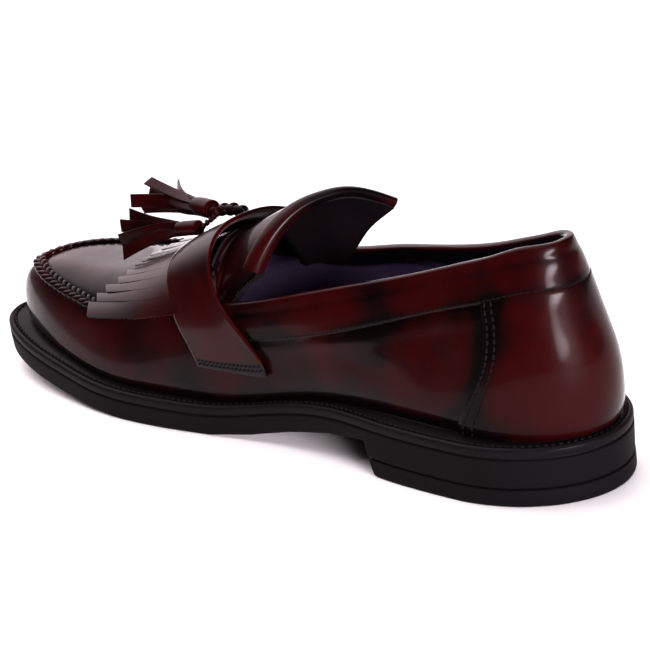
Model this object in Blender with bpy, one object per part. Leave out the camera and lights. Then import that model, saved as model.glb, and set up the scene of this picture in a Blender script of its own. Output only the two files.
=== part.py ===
"""A right-foot saddle loafer with a kiltie and tassels: sole unit, welt, hollow upper and trims.

Sizes are in millimetres and become metres when a mesh is made. The toe points along -X, the inner
side of the foot is -Y and the shoe stands on Z = 0. "along" is the distance forward from the back
of the sole, and half widths are counted from the axis of the heel.
"""
import bpy
import numpy as np

MM = 0.001
LENGTH = 300.0
WALL = 2.0
GAP = 0.3
WELT_THICK = 3.2
LIFT_THICK = 6.5
HEEL_FRONT = 88.0
BREAST_SLOPE = 1.5
HEEL_UNDER = 6.8
WAIST_UNDER = 13.2
SOLE_BACK = 47.0
SOLE_TOE = 85.0
TOE_CORNER = 2.2
UPPER_BACK = 42.0
COLLAR_PINCH = 12.0
UPPER_TIP = 293.0
UPPER_TOE = 78.0
TOE_BOX = 38.0
TOE_FULL = 2.6
THROAT = 168.0
SADDLE_LOW = 27.5

for leftover in list(bpy.data.objects):
    bpy.data.objects.remove(leftover, do_unlink=True)


def table(columns, rows):
    return dict(zip(columns.split(), np.array(rows, float).T))


# Sole seen from above: mid is the line the toe closes on, inner and outer are half widths.
PLAN = table("along mid inner outer", (
    (0, 0.0, 36.7, 36.7),
    (45, 0.0, 36.7, 36.7),
    (80, 0.0, 35.6, 37.0),
    (110, -0.5, 31.5, 39.0),
    (130, -1.0, 31.0, 42.5),
    (150, -1.5, 32.5, 48.0),
    (175, -2.0, 36.8, 56.0),
    (200, -2.5, 40.0, 59.5),
    (220, -3.0, 40.3, 59.0),
    (245, -3.5, 38.6, 54.0),
    (270, -4.0, 37.6, 48.0),
    (300, -4.0, 36.6, 43.0),
))

# Side view of the sole: under is its lower face, seat the top of the welt.
SIDE = table("along under seat", (
    (0, 14.3, 22.0),
    (78, 13.6, 22.0),
    (95, 12.5, 21.8),
    (110, 10.6, 21.0),
    (130, 7.0, 18.3),
    (150, 2.4, 14.4),
    (168, 0.0, 12.0),
    (190, 0.0, 11.8),
    (212, 0.0, 11.9),
    (228, 1.0, 12.9),
    (246, 3.2, 15.1),
    (265, 5.4, 17.2),
    (285, 8.0, 19.6),
    (300, 9.1, 20.6),
))

# The last: belly is the height of the widest line over the welt, ridge the top of the section,
# full and round the boxiness of its inner and outer side.
LAST = table("along belly inner outer ridge full round", (
    (0, 9.0, 30.4, 30.4, 106, 2.20, 2.20),
    (40, 8.0, 30.4, 30.6, 103, 2.20, 2.20),
    (62, 8.0, 29.8, 31.2, 98, 2.20, 2.20),
    (92, 9.0, 28.8, 33.0, 94, 2.25, 2.25),
    (120, 11.0, 28.4, 36.5, 90, 2.45, 2.40),
    (150, 10.5, 30.6, 43.0, 80, 2.40, 2.30),
    (168, 9.0, 33.0, 48.0, 72, 2.40, 2.30),
    (187, 7.0, 35.2, 52.0, 64.5, 2.50, 2.30),
    (215, 5.0, 36.4, 52.5, 54, 2.80, 2.50),
    (240, 4.0, 34.6, 47.0, 48.4, 3.10, 2.80),
    (265, 4.0, 32.0, 41.5, 47.0, 3.10, 2.90),
    (294, 4.0, 28.0, 37.0, 47.4, 3.00, 2.90),
))

# How much each side of the last draws in above the welt, from a height on, in parts of 40 mm.
LEAN = table("along start inner outer", (
    (0, 5, 0.20, 0.20),
    (40, 5, 0.22, 0.22),
    (75, 8, 0.22, 0.20),
    (105, 16, 0.20, 0.16),
    (120, 24, 0.14, 0.12),
    (150, 24, 0.12, 0.10),
    (187, 12, 0.16, 0.10),
    (215, 4, 0.26, 0.10),
    (240, 2, 0.32, 0.06),
    (265, 2, 0.32, 0.04),
    (294, 2, 0.32, 0.04),
))

# Back of the heel: how far it leans forward at each height.
BACK = table("height lean", (
    (18, 6.0),
    (26, 3.3),
    (36, 1.8),
    (48, 2.7),
    (60, 6.3),
    (72, 9.8),
    (80, 12.6),
    (90, 15.6),
    (98, 18.0),
))

# The rim of the collar on its two sides, and how far the band reaches below it.
RIM = table("along inner outer band", (
    (0, 89.5, 89.5, 14.6),
    (15, 88.8, 87.2, 14.2),
    (30, 85.1, 83.2, 13.9),
    (45, 81.2, 79.2, 13.8),
    (60, 77.0, 75.0, 13.7),
    (92, 68.0, 67.4, 14.8),
    (120, 60.9, 60.6, 15.2),
    (146, 53.9, 53.9, 13.6),
    (168, 49.5, 49.5, 13.5),
))

# The seam of the heel counter: its distance from the back at heights over the welt.
COUNTER = table("over along", (
    (0.0, 46.5),
    (5.3, 44.5),
    (11.4, 42.0),
    (21.0, 37.8),
    (27.4, 34.8),
    (34.0, 33.0),
    (41.0, 32.5),
    (47.0, 33.3),
    (60.0, 35.0),
))

# The tongue from the throat to its free end: height of its crown, middle line, half width and
# the fall of its near and its far edge.
TONGUE = table("along crown mid half near far", (
    (166, 73.0, 0.0, 26.5, 29.0, 24.0),
    (158, 78.0, 1.0, 26.5, 24.5, 26.5),
    (152, 81.3, 1.8, 26.4, 21.0, 28.5),
    (147, 83.6, 2.5, 26.3, 17.5, 30.0),
    (136, 87.2, 3.5, 25.5, 12.5, 22.0),
    (126, 89.2, 4.0, 24.8, 11.0, 15.2),
    (119, 89.8, 4.0, 24.5, 10.5, 10.5),
))

# Radius of the roll at the tongue's free end, from its near to its far corner.
ROLL = table("turn radius", (
    (-1.06, 4.7),
    (-0.80, 4.3),
    (-0.40, 3.4),
    (0.00, 2.7),
    (0.50, 2.3),
    (1.00, 2.2),
))

# The saddle from the ridge to its lower ends: front and rear edges, and how far it stands off.
SADDLE = table("turn front rear lift", (
    (0.00, 190.0, 170.0, 2.6),
    (0.24, 191.5, 169.0, 2.8),
    (0.48, 189.0, 165.8, 2.9),
    (0.70, 184.0, 157.5, 2.9),
    (0.83, 178.8, 148.5, 2.4),
    (0.97, 171.5, 139.0, 0.9),
    (1.00, 170.3, 137.5, 0.7),
))

# The kiltie's strips: where they end and how far the tips lift.
KILTIE = table("turn tip lift", (
    (0.00, 217.5, 0.6),
    (0.20, 218.5, 0.8),
    (0.35, 219.8, 1.0),
    (0.44, 223.0, 1.4),
    (0.54, 226.5, 2.0),
    (0.63, 227.8, 2.8),
    (0.75, 229.4, 4.2),
    (0.90, 229.0, 6.4),
))

# The braid round the apron, seen from above.
BRAID = np.array((
    (224.0, -27.3), (228.2, -26.8), (233.2, -26.1), (240.4, -24.5), (247.9, -22.9), (255.2, -21.0),
    (262.2, -18.9), (269.0, -16.2), (275.4, -12.4), (279.2, -8.9), (281.5, -3.5), (280.5, 3.5), (276.5, 9.7),
    (270.5, 14.4), (262.0, 19.9), (252.0, 24.2), (242.0, 27.0), (232.0, 28.5), (222.0, 29.5)))

# Tassels: cap and tip of each, as along, across and height.
TASSELS = {
    "tassel_near": ((194.2, -3.6, 69.6), (231.0, -6.0, 63.5)),
    "tassel_far": ((194.5, 7.0, 72.3), (236.0, 14.0, 71.0)),
}


def spline(xs, ys, at):
    """Natural cubic through the rows of a table."""
    count = len(xs)
    step = np.diff(xs)
    slope = np.diff(ys) / step
    system = np.eye(count)
    right = np.zeros(count)
    for row in range(1, count - 1):
        system[row, row - 1:row + 2] = step[row - 1], 2 * (step[row - 1] + step[row]), step[row]
        right[row] = 6 * (slope[row] - slope[row - 1])
    bend = np.linalg.solve(system, right)
    at = np.asarray(at, float)
    low = np.clip(np.searchsorted(xs, at) - 1, 0, count - 2)
    gap = step[low]
    after = (at - xs[low]) / gap
    before = 1 - after
    curve = (before ** 3 - before) * bend[low] + (after ** 3 - after) * bend[low + 1]
    return before * ys[low] + after * ys[low + 1] + curve * gap ** 2 / 6


def rows_at(source, column, at, key="along"):
    order = np.argsort(source[key])
    keys = source[key][order]
    return spline(keys, source[column][order], np.clip(at, keys[0], keys[-1]))


def level(column, along):
    """Heights of the sole, straight between rows so the flats stay flat."""
    return np.interp(along, SIDE["along"], SIDE[column])


def rounding(part, full=2.0):
    """Curve that closes a plan at its heel or toe: 0 at the end, 1 from there on."""
    return np.clip(1 - np.clip(1 - part, 0, 1) ** full, 0, 1) ** (1 / full)


def by_side(side, inner, outer):
    return np.where(side < 0, inner, outer)


WIDEST_INNER = rows_at(PLAN, "inner", np.linspace(0, 230, 231)).max()
WIDEST_OUTER = rows_at(PLAN, "outer", np.linspace(0, 230, 231)).max()
AXIS_Y = (WIDEST_INNER - WIDEST_OUTER) / 2


def place(along, across, height):
    """Shoe sizes to frame coordinates, in millimetres."""
    return np.stack(np.broadcast_arrays(LENGTH / 2 - along, across + AXIS_Y, height), -1)


def sole_edge(along, side):
    mid = rows_at(PLAN, "mid", along)
    half = by_side(side, rows_at(PLAN, "inner", along) + mid, rows_at(PLAN, "outer", along) - mid)
    toe = rounding((LENGTH - along) / SOLE_TOE, by_side(side, TOE_CORNER, 2.0))
    return mid + side * half * rounding(along / SOLE_BACK) * toe


def seat(along):
    return rows_at(SIDE, "seat", along)


def section(along):
    """Height of the widest line of a section and of the part above it."""
    belly = seat(along) + GAP + rows_at(LAST, "belly", along)
    close = rounding((UPPER_TIP - along) / TOE_BOX, TOE_FULL)
    return belly, (rows_at(LAST, "ridge", along) - belly) * close


def boxy(along, side):
    return by_side(side, rows_at(LAST, "full", along), rows_at(LAST, "round", along))


def rise_at(along, side, height):
    """Share of the way up a section, from its widest line to its ridge, at a height."""
    belly, tall = section(along)
    part = np.clip((height - belly) / np.maximum(tall, 1e-6), 0, 1)
    return np.arcsin(part ** (boxy(along, side) / 2)) * 2 / np.pi


def rise_across(along, across):
    """The side and the rise of a place on the upper that is seen from above, found by halving."""
    side = np.where(across < rows_at(PLAN, "mid", along), -1.0, 1.0)
    low = np.zeros_like(across)
    high = np.ones_like(across)
    for _ in range(30):
        middle = (low + high) / 2
        wide = side * (skin(along, side, middle)[..., 1] - AXIS_Y - across) > 0
        low = np.where(wide, middle, low)
        high = np.where(wide, high, middle)
    return side, (low + high) / 2


def skin(along, side, rise):
    """Outside of the upper. rise is -1 at its lower edge, 0 at the widest line, 1 on the ridge."""
    along, side, rise = np.broadcast_arrays(*(np.asarray(v, float) for v in (along, side, rise)))
    belly, tall = section(along)
    full = boxy(along, side)
    turn = np.clip(rise, 0, 1) * np.pi / 2
    under = np.clip(-rise, 0, 1)
    drop = rows_at(LAST, "belly", along)
    height = belly + tall * np.sin(turn) ** (2 / full) - drop * under
    mid = rows_at(PLAN, "mid", along)
    half = by_side(side, rows_at(LAST, "inner", along) + mid, rows_at(LAST, "outer", along) - mid)
    toe = rounding((UPPER_TIP - along) / UPPER_TOE)
    tuck = 2.6 * under ** 2
    over = height - seat(along) - rows_at(LEAN, "start", along)
    narrow = by_side(side, rows_at(LEAN, "inner", along), rows_at(LEAN, "outer", along))
    across = (half - tuck) * np.clip(np.cos(turn), 0, 1) ** (2 / full)
    across = across * (1 - narrow * (over + np.sqrt(over ** 2 + 16)) / 80)
    back = UPPER_BACK - COLLAR_PINCH * np.clip((height - 36) / 48, 0, 1)
    across = mid + side * across * rounding(along / back) * toe
    lean = rows_at(BACK, "lean", height, "height")
    forward = along + lean * np.clip(1 - along / 90, 0, 1) ** 2 - tuck * (1 - toe)
    return place(forward, across, height)


def facing(points, faces):
    """Direction of each corner of a sheet, turned away from the inside of the shoe."""
    total = np.zeros_like(points)
    for face in faces:
        corners = points[face]
        out = np.cross(corners[2] - corners[0], corners[-1] - corners[1])
        total[face] += out
    total /= np.maximum(np.linalg.norm(total, axis=1, keepdims=True), 1e-9)
    core = np.stack([np.clip(points[:, 0], -100, 100), np.full(len(points), AXIS_Y),
                     np.full(len(points), 28.0)], -1)
    return total if ((points - core) * total).sum() > 0 else -total


def weld(points, faces):
    """Joins corners that lie on one another and drops faces that vanish."""
    keys = np.round(points, 4)
    _, first, back = np.unique(keys, axis=0, return_index=True, return_inverse=True)
    back = back.reshape(-1)
    kept = []
    for face in faces:
        ring = [int(back[i]) for i in face]
        ring = [c for i, c in enumerate(ring) if c != ring[i - 1]]
        if len(set(ring)) > 2:
            kept.append(ring)
    return points[first], kept


def make(name, points, faces, colour, rough=0.5):
    """One named solid with its own material."""
    points, faces = weld(np.asarray(points, float), faces)
    mesh = bpy.data.meshes.new(name)
    mesh.from_pydata((points * MM).tolist(), [], faces)
    mesh.validate()
    look = bpy.data.materials.new(name)
    look.use_nodes = True
    shader = look.node_tree.nodes["Principled BSDF"]
    shader.inputs["Base Color"].default_value = (*colour, 1.0)
    shader.inputs["Roughness"].default_value = rough
    mesh.materials.append(look)
    solid = bpy.data.objects.new(name, mesh)
    bpy.context.collection.objects.link(solid)
    bpy.context.view_layer.objects.active = solid
    solid.select_set(True)
    bpy.ops.object.mode_set(mode="EDIT")
    bpy.ops.mesh.select_all(action="SELECT")
    bpy.ops.mesh.normals_make_consistent(inside=False)
    bpy.ops.object.mode_set(mode="OBJECT")
    solid.select_set(False)
    return solid


def thicken(name, inner, outer, faces, colour, rough=0.5):
    """A solid between two sheets with the same faces, closed along their open edges."""
    count = len(inner)
    edges = {}
    for face in faces:
        for here, after in zip(face, face[1:] + face[:1]):
            key = (min(here, after), max(here, after))
            edges[key] = None if key in edges else (here, after)
    rim = [pair for pair in edges.values() if pair]
    sides = [[a, b, b + count, a + count] for a, b in rim]
    lower = [list(reversed(face)) for face in faces]
    upper = [[i + count for i in face] for face in faces]
    return make(name, np.vstack([inner, outer]), lower + upper + sides, colour, rough)


def sheet(rows, columns, skip=None):
    """Faces of a grid of points, row by row."""
    faces = []
    for row in range(rows - 1):
        for column in range(columns - 1):
            if skip is None or not skip(row, column):
                start = row * columns + column
                faces.append([start, start + 1, start + columns + 1, start + columns])
    return faces


def cover(name, base, shape, low, high, colour, skip=None):
    """An overlay between two distances outside a grid of points on the upper."""
    base = base.reshape(-1, 3)
    faces = sheet(*shape, skip)
    out = facing(base, faces)
    low = np.broadcast_to(low, shape).reshape(-1, 1)
    high = np.broadcast_to(high, shape).reshape(-1, 1)
    return thicken(name, base + out * low, base + out * high, faces, colour, 0.3)


def stations(start, end, back, toe, step):
    """Distances along the shoe, crowded where the plan rounds off at its two ends."""
    turn = np.linspace(0, np.pi / 2, 9)
    heel = start + back * (1 - np.cos(turn))
    front = end - toe * (1 - np.cos(turn[::-1]))
    count = int(round((front[0] - heel[-1]) / step))
    return np.concatenate([heel, np.linspace(heel[-1], front[0], count + 1)[1:-1], front])


def ring(along, across):
    """A closed loop of points: inner side to the toe, outer side back to the heel."""
    inner = np.stack([along, across(along, -1.0)], -1)
    outer = np.stack([along, across(along, 1.0)], -1)
    return np.vstack([inner, outer[-2:0:-1]])


def inset(loop, distance):
    """A loop moved inward in plan."""
    ahead = np.roll(loop, -1, 0) - np.roll(loop, 1, 0)
    inward = np.stack([-ahead[:, 1], ahead[:, 0]], -1)
    inward = inward / np.linalg.norm(inward, axis=1, keepdims=True)
    return loop + inward * np.asarray(distance)[..., None]


def stack(loops):
    """Faces between loops that lie one over the other."""
    count = len(loops[0])
    faces = []
    for floor in range(len(loops) - 1):
        for here in range(count):
            after = (here + 1) % count
            faces.append([floor * count + here, floor * count + after,
                          (floor + 1) * count + after, (floor + 1) * count + here])
    return faces


def cap(first, count):
    """Strips across a loop, from its inner to its outer side."""
    half = count // 2
    faces = [[first, first + 1, first + count - 1]]
    for here in range(1, half - 1):
        faces.append([first + here, first + here + 1, first + count - here - 1, first + count - here])
    faces.append([first + half - 1, first + half, first + half + 1])
    return faces


def tower(name, loops, colour, rough):
    """A solid from loops one over the other, closed across the first and the last."""
    count = len(loops[0])
    faces = stack(loops) + cap(0, count) + cap((len(loops) - 1) * count, count)
    return make(name, np.vstack(loops), faces, colour, rough)


BLACK = (0.012, 0.011, 0.012)
OXBLOOD = (0.12, 0.012, 0.016)
NAVY = (0.012, 0.016, 0.045)

# Sole unit: its underside steps down to the heel at the breast.
sole_run = stations(0, LENGTH, SOLE_BACK, SOLE_TOE, 9.0)
sole_run = np.sort(np.append(sole_run, (HEEL_FRONT, HEEL_FRONT + BREAST_SLOPE, 168.0, 212.0)))
outline = ring(sole_run, sole_edge)
forward = outline[:, 0]
top = seat(forward)
breast = np.clip((forward - HEEL_FRONT) / BREAST_SLOPE, 0, 1)
waist = level("under", forward)
under = np.where(breast < 1, HEEL_UNDER + (WAIST_UNDER - HEEL_UNDER) * breast, waist)


def loop_at(distance, height):
    moved = inset(outline, np.full(len(outline), distance))
    return place(moved[:, 0], moved[:, 1], height)


rand = top - WELT_THICK - GAP
tower("sole", [
    loop_at(1.4, under),
    loop_at(0.5, np.minimum(under + 1.0, rand - 1.5)),
    loop_at(0.0, rand - 0.9),
    loop_at(0.9, rand - 0.4),
    loop_at(1.0, rand),
], BLACK, 0.5)

# Top lift of the heel.
lift_run = stations(0, HEEL_FRONT - 0.5, SOLE_BACK, 0.0, 8.0)[:-8]
lift_in = np.stack([lift_run, sole_edge(lift_run, -1.0)], -1)
lift_out = np.stack([lift_run, sole_edge(lift_run, 1.0)], -1)
lift_loop = np.vstack([lift_in, lift_out[:0:-1]])
lift_levels = ((0.9, 0.0, 3.4), (0.4, 1.0, 2.0), (0.4, LIFT_THICK, 0.0))
lift_points = []
for distance, height, front in lift_levels:
    moved = inset(lift_loop, np.full(len(lift_loop), distance))
    moved[:, 0] = np.minimum(moved[:, 0], HEEL_FRONT - 0.5 - front)
    lift_points.append(place(moved[:, 0], moved[:, 1], height))
count = len(lift_loop)
half = len(lift_run)
lift_caps = []
for first in (0, 2 * count):
    lift_caps.append([first, first + 1, first + count - 1])
    for here in range(1, half - 1):
        other = first + count - here
        lift_caps.append([first + here, first + here + 1, other - 1, other])
make("heel_top_lift", np.vstack(lift_points), stack(lift_points) + lift_caps, BLACK, 0.6)

# Welt: a strip round the sole that reaches under the edge of the upper.
upper_run = stations(0, UPPER_TIP, UPPER_BACK, UPPER_TOE, 9.0)
upper_run = np.sort(np.append(upper_run, (HEEL_FRONT, HEEL_FRONT + BREAST_SLOPE, THROAT, 212.0)))


lower_edge = np.vstack([skin(upper_run, -1.0, -1.0), skin(upper_run, 1.0, -1.0)[-2:0:-1]])
foot = np.stack([LENGTH / 2 - lower_edge[:, 0], lower_edge[:, 1] - AXIS_Y], -1)


def foot_loop(distance, lift):
    moved = inset(foot, np.full(len(foot), distance))
    return place(moved[:, 0], moved[:, 1], seat(moved[:, 0]) + lift)


welt_loops = [
    loop_at(0.2, top - WELT_THICK),
    loop_at(0.0, top - 0.8),
    loop_at(0.7, top),
    foot_loop(WALL, 0.0),
    foot_loop(WALL, -WELT_THICK),
]
welt_size = len(welt_loops) * len(outline)
welt_faces = [[corner % welt_size for corner in face] for face in stack(welt_loops + welt_loops[:1])]
make("welt", np.vstack(welt_loops), welt_faces, BLACK, 0.45)

# Insole: closes the foot inside the upper.
tower("insole", [
    foot_loop(WALL + GAP, GAP - WELT_THICK),
    foot_loop(WALL + GAP, 0.2),
    foot_loop(WALL + 1.2, 1.2),
], NAVY, 0.8)

# Upper: two sides that meet behind the heel and on the ridge, open at the collar and the throat.
WALL_SHARES = np.concatenate([(-1.0, -0.6, -0.25), np.linspace(0, 1, 7)])
TOP_SHARES = np.linspace(0, 1, 6)[1:]


def rim_height(along, side):
    return by_side(side, rows_at(RIM, "inner", along), rows_at(RIM, "outer", along))


def rim_rise(along, side):
    """Rise of the collar's rim, carried on over the vamp."""
    height = rim_height(along, side)
    vamp = np.clip((along - THROAT) / 60, 0, 1)
    return rise_at(np.minimum(along, THROAT), side, height) * (1 - vamp) + 0.55 * vamp


points = []
faces = []
columns = len(upper_run)
behind = upper_run < THROAT - 0.01
for side in (-1.0, 1.0):
    edge = rim_rise(upper_run, side)
    grid = [skin(upper_run, side, share if share < 0 else share * edge) for share in WALL_SHARES]
    grid += [skin(upper_run, side, edge + share * (1 - edge)) for share in TOP_SHARES]
    first = sum(len(block) for block in points)
    opening = len(WALL_SHARES) - 1
    side_faces = sheet(len(grid), columns, lambda row, column: row >= opening and behind[column])
    faces += [[corner + first for corner in (face if side < 0 else face[::-1])] for face in side_faces]
    points += grid
points, faces = weld(np.vstack(points), faces)
used = sorted({corner for face in faces for corner in face})
renamed = {corner: number for number, corner in enumerate(used)}
points = points[used]
faces = [[renamed[corner] for corner in face] for face in faces]
thicken("upper", points - facing(points, faces) * WALL, points, faces, OXBLOOD, 0.3)


def both(values):
    """Signed distances from the back of the heel to their place and side."""
    return np.abs(values), np.where(values < 0, -1.0, 1.0)


# Collar band along the rim.
heel_run = stations(0, 146.0, UPPER_BACK, 0.0, 8.0)[:-8]
signed = np.concatenate([-heel_run[:0:-1], heel_run])
along, side = both(np.tile(signed, (5, 1)))
share = np.linspace(0, 1, 5)[:, None]
height = rim_height(along, side) - rows_at(RIM, "band", along) * (1 - share) - 0.2
base = skin(along, side, rise_at(along, side, height))
cover("collar_band", base, along.shape, 0.45, 1.7, OXBLOOD)

# Heel counter below the band.
share = np.linspace(0, 1, 9)[:, None]
seam = rows_at(COUNTER, "along", share * 51, "over")
half_turn = 1 - np.cos(np.linspace(0, np.pi / 2, 9))
across = np.concatenate([-half_turn[:0:-1], half_turn])
along, side = both(across * seam)
floor = seat(along) + 2.5
height = floor + share * (rim_height(along, side) - rows_at(RIM, "band", along) - 0.8 - floor)
drop = (height - section(along)[0]) / rows_at(LAST, "belly", along)
rise = np.where(drop < 0, np.clip(drop, -1, 0), rise_at(along, side, height))
cover("heel_counter", skin(along, side, rise), along.shape, 0.45, 1.5, OXBLOOD)


def over_instep(turn, along):
    """A point across the instep: turn -1 is low on the inner side, 0 the ridge, 1 low outside."""
    side = np.where(turn < 0, -1.0, 1.0)
    low = rise_at(along, side, SADDLE_LOW)
    return skin(along, side, 1 - np.abs(turn) * (1 - low))


# Saddle across the instep.
turn, share = np.meshgrid(np.linspace(-1, 1, 25), np.linspace(0, 1, 7))
front = rows_at(SADDLE, "front", np.abs(turn), "turn")
rear = rows_at(SADDLE, "rear", np.abs(turn), "turn")
along = front + share * (rear - front)
lift = rows_at(SADDLE, "lift", np.abs(turn), "turn") + 0.5
base = over_instep(turn, along)
cover("saddle_strap", base, turn.shape, lift, lift + 2.0, OXBLOOD)

# Kiltie: a flap in front of the saddle, cut into pointed strips.
SLIT = 0.006
SLIT_ROW = 2
edges = np.concatenate([[-0.84], np.linspace(-0.70, 0.70, 15), [0.84]])
lines = np.concatenate([(low + SLIT, (low + high) / 2, high - SLIT) for low, high in zip(edges, edges[1:])])
turn, share = np.meshgrid(lines, np.array((0.0, 0.25, 0.5, 0.62, 0.75, 0.88, 1.0)))
turn = turn * (0.88 + 0.12 * share)
start = rows_at(SADDLE, "front", np.abs(turn), "turn") + 1.0
point = np.where(share == 1.0, np.tile((-2.0, 0.0, 0.0), len(edges) - 1), 0.0)
along = start + share * (rows_at(KILTIE, "tip", np.abs(turn), "turn") - start) + point
lift = 0.5 + rows_at(KILTIE, "lift", np.abs(turn), "turn") * (0.35 + 0.65 * share)
base = over_instep(turn, along)
cover("kiltie", base, turn.shape, lift, lift + 1.5, OXBLOOD,
      lambda row, column: row >= SLIT_ROW and column % 3 == 2)


def tube(name, centres, across, up, radius, colour, sides=10):
    """A closed round bar along a path; radius may change along it and round it."""
    angle = np.linspace(0, 2 * np.pi, sides, endpoint=False)
    rings = [centre + np.outer(np.cos(angle) * size, a) + np.outer(np.sin(angle) * size, b)
             for centre, a, b, size in zip(centres, across, up, radius)]
    last_ring = (len(rings) - 1) * sides
    ends = [list(range(sides)), list(range(last_ring, last_ring + sides))]
    return make(name, np.vstack(rings), stack(rings) + ends, colour, 0.35)


# Braided seam round the apron, from one end of the kiltie to the other.
marks = np.arange(len(BRAID), dtype=float)
steps = np.linspace(1.4, marks[-1] - 1.0, 41)
along = spline(marks, BRAID[:, 0], steps)
side, rise = rise_across(along, spline(marks, BRAID[:, 1], steps))
centre = skin(along, side, rise)
ahead = np.gradient(centre, axis=0)
ahead /= np.linalg.norm(ahead, axis=1, keepdims=True)
away = np.stack([-ahead[:, 1], ahead[:, 0], 0 * along], -1)
away /= np.linalg.norm(away, axis=1, keepdims=True)
out = np.array((0.0, 0.0, 1.0)) + 0.45 * away
out -= ahead * (out * ahead).sum(1, keepdims=True)
out /= np.linalg.norm(out, axis=1, keepdims=True)
tube("apron_braid", centre + out * 2.0, np.cross(ahead, out), out, np.full(len(along), 1.6), OXBLOOD, 8)

# Tongue: an arched sheet from the throat to its free end, which is cut askew and turned into a roll.
TONGUE_START = 166.0
TONGUE_END = 131.0
TONGUE_SKEW = 12.0
FLAP_ROW = 7
share = np.array((0.0, 0.12, 0.24, 0.36, 0.48, 0.6, 0.72, 0.86, 0.94, 1.0))[:, None]
turn = np.concatenate([[-1.06], np.linspace(-0.9, 1, 17)])[None, :]
along = TONGUE_START - (TONGUE_START - TONGUE_END + TONGUE_SKEW * turn) * share
fall = by_side(turn, rows_at(TONGUE, "near", along), rows_at(TONGUE, "far", along))
height = rows_at(TONGUE, "crown", along) - fall * np.abs(turn) ** 2.4
across = rows_at(TONGUE, "mid", along) + rows_at(TONGUE, "half", along) * turn
roll = rows_at(ROLL, "radius", turn, "turn") * np.clip((share - 0.86) / 0.08, 0, 1)
cover("tongue", place(along, across, height), along.shape, -2.4 - 0.3 * roll, 0.6 * roll, OXBLOOD,
      lambda row, column: column == 0 and row < FLAP_ROW)

# Tassels: a round cap and a bundle of strips that spreads towards its tips.
SPOKES = 8
BUNDLE = table("share radius groove", (
    (0.00, 2.6, 0.0),
    (0.05, 3.3, 0.0),
    (0.28, 3.4, 0.0),
    (0.32, 3.0, 0.2),
    (0.60, 4.6, 1.0),
    (0.85, 6.0, 1.6),
    (1.00, 6.6, 1.9),
))
for name, (cap_at, tip_at) in TASSELS.items():
    cap_point = place(*cap_at)
    reach = place(*tip_at) - cap_point
    ahead = reach / np.linalg.norm(reach)
    wide = np.cross(ahead, (0.0, 0.0, 1.0))
    wide /= np.linalg.norm(wide)
    angle = np.linspace(0, 2 * np.pi, SPOKES * 3, endpoint=False)
    comb = np.tile((0.0, 0.0, 1.0), SPOKES)
    path = cap_point + BUNDLE["share"][:, None] * reach
    size = BUNDLE["radius"][:, None] - BUNDLE["groove"][:, None] * comb
    count = len(path)
    tube(name, path, np.tile(wide, (count, 1)), np.tile(np.cross(wide, ahead), (count, 1)), size, OXBLOOD,
         SPOKES * 3)

# Tie: the knot that holds the two tassels on the saddle.
knot = np.array(((193.0, 9.5, 71.5), (191.0, 11.2, 71.6), (188.8, 13.2, 71.4), (186.6, 15.0, 70.6)))
path = place(knot[:, 0], knot[:, 1], knot[:, 2])
count = len(path)
tube("tassel_tie", path, np.tile((0.0, 1.0, 0.0), (count, 1)), np.tile((0.0, 0.0, 1.0), (count, 1)),
     np.array((1.2, 2.2, 2.2, 1.1)), OXBLOOD)
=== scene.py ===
# %% [markdown]
# # An oxblood saddle loafer
# This lesson dresses the plain solids of a loafer for the right foot. A shoe is made on a last, a
# block with the shape of the foot, and leather is pulled over it. The lesson works the same way: it
# writes the last as a small function, adds flat grids and pulls them over it.

# %% The frame
import math

import bpy
import numpy as np
from mathutils import Matrix, Vector


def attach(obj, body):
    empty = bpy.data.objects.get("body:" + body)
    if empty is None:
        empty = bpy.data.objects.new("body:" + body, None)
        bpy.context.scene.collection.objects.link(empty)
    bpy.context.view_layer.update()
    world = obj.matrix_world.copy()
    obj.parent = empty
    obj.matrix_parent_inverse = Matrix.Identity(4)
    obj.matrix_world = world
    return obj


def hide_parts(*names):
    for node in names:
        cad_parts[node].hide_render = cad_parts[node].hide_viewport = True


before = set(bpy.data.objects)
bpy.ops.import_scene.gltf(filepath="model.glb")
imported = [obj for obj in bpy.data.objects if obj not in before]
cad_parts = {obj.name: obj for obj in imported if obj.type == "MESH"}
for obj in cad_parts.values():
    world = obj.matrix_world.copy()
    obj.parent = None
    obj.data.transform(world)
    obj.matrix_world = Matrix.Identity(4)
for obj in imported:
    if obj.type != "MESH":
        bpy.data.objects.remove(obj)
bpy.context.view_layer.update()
MM = 0.001
TINY = 1e-6
print("solids in the frame:", sorted(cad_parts))

# %% [markdown]
# ## Camera
# The picture was taken from behind the heel on the inner side, a little above the shoe, with a long
# lens, and it was turned a few degrees when it was straightened. The same turn is the camera's roll.

# %% Camera
AZIMUTH = math.radians(44.589)
ELEVATION = math.radians(20.976)
CAMERA_ROLL = math.radians(7.05)
DISTANCE = 1.2452
LENS = 184.06
AIM = Vector((0.01122, -0.00563, 0.0358))

level = math.cos(ELEVATION)
back_axis = Vector((math.sin(AZIMUTH) * level, -math.cos(AZIMUTH) * level, math.sin(ELEVATION)))
level_axis = Vector((math.cos(AZIMUTH), math.sin(AZIMUTH), 0.0))
tilt_axis = back_axis.cross(level_axis)
right_axis = level_axis * math.cos(CAMERA_ROLL) - tilt_axis * math.sin(CAMERA_ROLL)
up_axis = level_axis * math.sin(CAMERA_ROLL) + tilt_axis * math.cos(CAMERA_ROLL)
pointing = Matrix((right_axis, up_axis, back_axis)).transposed().to_euler()
bpy.ops.object.camera_add(location=AIM + back_axis * DISTANCE, rotation=pointing)
camera = bpy.context.object
camera.data.lens = LENS
bpy.context.scene.camera = camera
print("camera at", [round(v, 3) for v in camera.location])

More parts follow.
